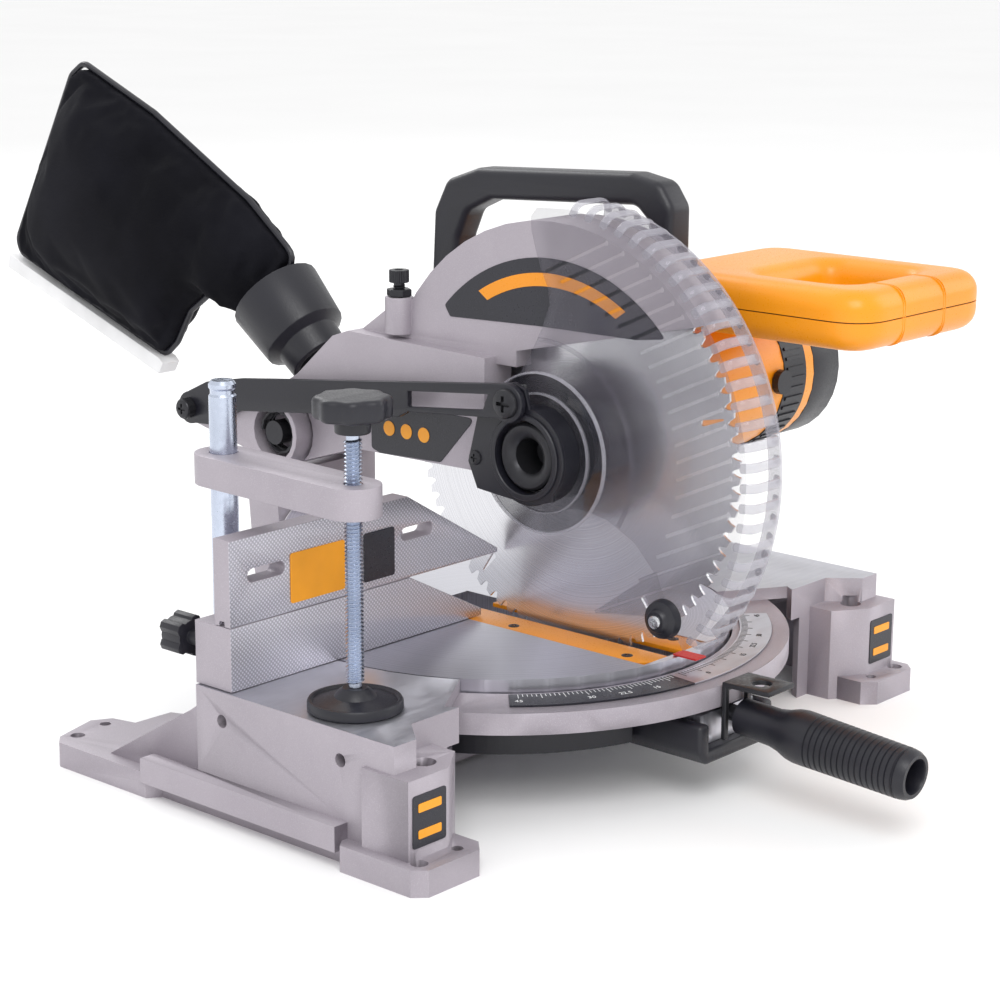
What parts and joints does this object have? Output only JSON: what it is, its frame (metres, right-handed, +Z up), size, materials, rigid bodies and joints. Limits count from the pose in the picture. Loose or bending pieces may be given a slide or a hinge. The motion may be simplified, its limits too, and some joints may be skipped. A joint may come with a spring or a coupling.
{
  "type": "compound miter saw",
  "caption": "Compound miter saw with rotating table, tilting arm, hinged head, swinging clear guard, hold-down clamp and dust bag.",
  "frame": {"origin": "bottom centre of the bounding box, on the bench", "axes": "+X to the operator's right along the fence, +Y away from the operator, +Z up"},
  "size_m": [0.486, 0.7956, 0.401],
  "materials": {
    "cast_alloy": "sand-textured grey paint",
    "machined_alloy": "brushed",
    "bright_steel": "ground",
    "zinc_steel": "bluish zinc plate",
    "dark_steel": "black oxide",
    "black_plastic": "moulded texture",
    "yellow_plastic": "satin",
    "red_plastic": "satin",
    "clear_plastic": "clear polycarbonate",
    "copper": "varnished copper winding",
    "bag_cloth": "woven black",
    "white_plastic": "satin"
  },
  "bodies": {
    "base": {"base_casting": "cast_alloy", "miter_scale": "black_plastic", "pivot_bolt": "dark_steel", "lower_fence_left": "machined_alloy", "lower_fence_right": "machined_alloy", "clamp_post": "zinc_steel"},
    "turntable": {"turntable": "machined_alloy", "kerf_plate_left": "yellow_plastic", "kerf_plate_right": "yellow_plastic", "miter_pointer": "red_plastic", "skirt_left": "black_plastic", "skirt_right": "black_plastic", "lock_housing": "black_plastic", "bevel_shaft": "bright_steel", "bevel_scale": "white_plastic"},
    "miter_grip": {"miter_handle": "black_plastic", "lock_rod": "dark_steel"},
    "miter_latch": {"miter_latch": "dark_steel"},
    "fence_left": {"upper_fence_left": "machined_alloy"},
    "fence_right": {"upper_fence_right": "machined_alloy"},
    "fence_knob_left": {"fence_knob_left": "black_plastic"},
    "fence_knob_right": {"fence_knob_right": "black_plastic"},
    "clamp_arm": {"clamp_arm": "cast_alloy"},
    "clamp_screw": {"clamp_screw": "zinc_steel", "clamp_foot": "black_plastic"},
    "clamp_knob": {"clamp_knob": "black_plastic"},
    "bevel_arm": {"bevel_arm": "cast_alloy", "chop_pivot_pin": "bright_steel", "torsion_spring": "dark_steel", "link_screw": "dark_steel"},
    "bevel_knob": {"bevel_lock_knob": "black_plastic"},
    "lockdown_pin": {"lockdown_pin": "dark_steel"},
    "head": {"head_casting": "cast_alloy", "motor_housing": "yellow_plastic", "stator": "dark_steel", "motor_bearing": "bright_steel", "motor_end_cap": "black_plastic", "brush_cap_front": "black_plastic", "brush_cap_rear": "black_plastic", "cord_gland": "black_plastic", "handle_lower": "yellow_plastic", "handle_upper": "yellow_plastic", "carry_handle": "black_plastic", "spindle_bearing": "bright_steel", "dust_spout": "black_plastic", "dust_bag": "bag_cloth", "bag_closure": "white_plastic"},
    "depth_stop": {"depth_stop_screw": "dark_steel"},
    "blade_spindle": {"spindle": "bright_steel", "spindle_gear": "bright_steel", "inner_flange": "dark_steel", "blade": "bright_steel", "outer_flange": "dark_steel", "arbor_bolt": "dark_steel"},
    "armature": {"armature": "copper"},
    "trigger": {"trigger": "black_plastic"},
    "guard": {"lower_guard": "clear_plastic", "guard_bracket": "black_plastic"},
    "roller": {"guard_roller": "black_plastic"},
    "link": {"link_bar": "black_plastic"}
  },
  "joints": [
    {"name": "miter", "type": "hinge", "parent": "base", "child": "turntable", "pos_m": [0, -0.08821, 0.06], "axis": [0, 0, 1], "range_deg": [-50, 50]},
    {"name": "miter_lock_twist", "type": "hinge", "parent": "turntable", "child": "miter_grip", "pos_m": [0, -0.26621, 0.05], "axis": [0, -0.9976, -0.0698], "range_deg": [0, 90]},
    {"name": "miter_latch_press", "type": "hinge", "parent": "turntable", "child": "miter_latch", "pos_m": [0.001, -0.27221, 0.058], "axis": [1, 0, 0], "range_deg": [0, 5], "stiffness_Nm_per_rad": 1},
    {"name": "fence_slide_left", "type": "slide", "parent": "base", "child": "fence_left", "axis": [1, 0, 0], "range_m": [-0.085, 0]},
    {"name": "fence_slide_right", "type": "slide", "parent": "base", "child": "fence_right", "axis": [1, 0, 0], "range_m": [0, 0.08]},
    {"name": "fence_knob_turn_left", "type": "hinge", "parent": "base", "child": "fence_knob_left", "pos_m": [-0.224, -0.04521, 0.101], "axis": [0, 1, 0], "range_deg": [0, 360]},
    {"name": "fence_knob_turn_right", "type": "hinge", "parent": "base", "child": "fence_knob_right", "pos_m": [0.224, -0.04521, 0.101], "axis": [0, 1, 0], "range_deg": [0, 360]},
    {"name": "clamp_swivel", "type": "hinge", "parent": "base", "child": "clamp_arm", "pos_m": [-0.197, -0.04821, 0.197], "axis": [0, 0, 1], "range_deg": [-55, 0]},
    {"name": "clamp_travel", "type": "slide", "parent": "clamp_arm", "child": "clamp_screw", "axis": [0, 0, 1], "range_m": [0, 0.045]},
    {"name": "clamp_knob_turn", "type": "hinge", "parent": "clamp_screw", "child": "clamp_knob", "pos_m": [-0.202, -0.15821, 0.245], "axis": [0, 0, 1], "range_deg": [0, 10800]},
    {"name": "bevel", "type": "hinge", "parent": "turntable", "child": "bevel_arm", "pos_m": [0, 0.06879, 0.077], "axis": [0, 1, 0], "range_deg": [-30, 0]},
    {"name": "bevel_lock_turn", "type": "hinge", "parent": "bevel_arm", "child": "bevel_knob", "pos_m": [0, 0.10179, 0.077], "axis": [0, 1, 0], "range_deg": [0, 90]},
    {"name": "lockdown_push", "type": "slide", "parent": "bevel_arm", "child": "lockdown_pin", "axis": [-1, 0, 0], "range_m": [0, 0.01]},
    {"name": "chop", "type": "hinge", "parent": "bevel_arm", "child": "head", "pos_m": [0, 0.07179, 0.175], "axis": [1, 0, 0], "range_deg": [-42, 0]},
    {"name": "depth_stop", "type": "slide", "parent": "head", "child": "depth_stop", "axis": [0, 0, 1], "range_m": [0, 0.012]},
    {"name": "blade_spin", "type": "hinge", "parent": "head", "child": "blade_spindle", "pos_m": [0, -0.14521, 0.192], "axis": [1, 0, 0], "continuous": true},
    {"name": "armature_spin", "type": "hinge", "parent": "head", "child": "armature", "pos_m": [0, -0.13421, 0.214], "axis": [1, 0, 0], "continuous": true},
    {"name": "trigger_squeeze", "type": "slide", "parent": "head", "child": "trigger", "axis": [0, -1, 0], "range_m": [0, 0.006], "stiffness_N_per_m": 800},
    {"name": "guard_swing", "type": "hinge", "parent": "head", "child": "guard", "pos_m": [0, -0.14521, 0.192], "axis": [1, 0, 0], "range_deg": [0, 48.3]},
    {"name": "roller_spin", "type": "hinge", "parent": "guard", "child": "roller", "pos_m": [-0.034, -0.24121, 0.108], "axis": [1, 0, 0], "continuous": true},
    {"name": "link_swing", "type": "hinge", "parent": "bevel_arm", "child": "link", "pos_m": [-0.049, 0.14779, 0.182], "axis": [1, 0, 0], "range_deg": [-31.3, 0]}
  ],
  "couplings": [
    {"joint": "fence_slide_left", "follows": "bevel", "m_per_rad": 0.16},
    {"joint": "clamp_knob_turn", "follows": "clamp_travel", "rad_per_m": 4188.8},
    {"joint": "armature_spin", "follows": "blade_spin", "ratio": -2.7286},
    {"joint": "guard_swing", "follows": "chop", "ratio": -1.15},
    {"joint": "link_swing", "follows": "chop", "ratio": 0.745}
  ]
}
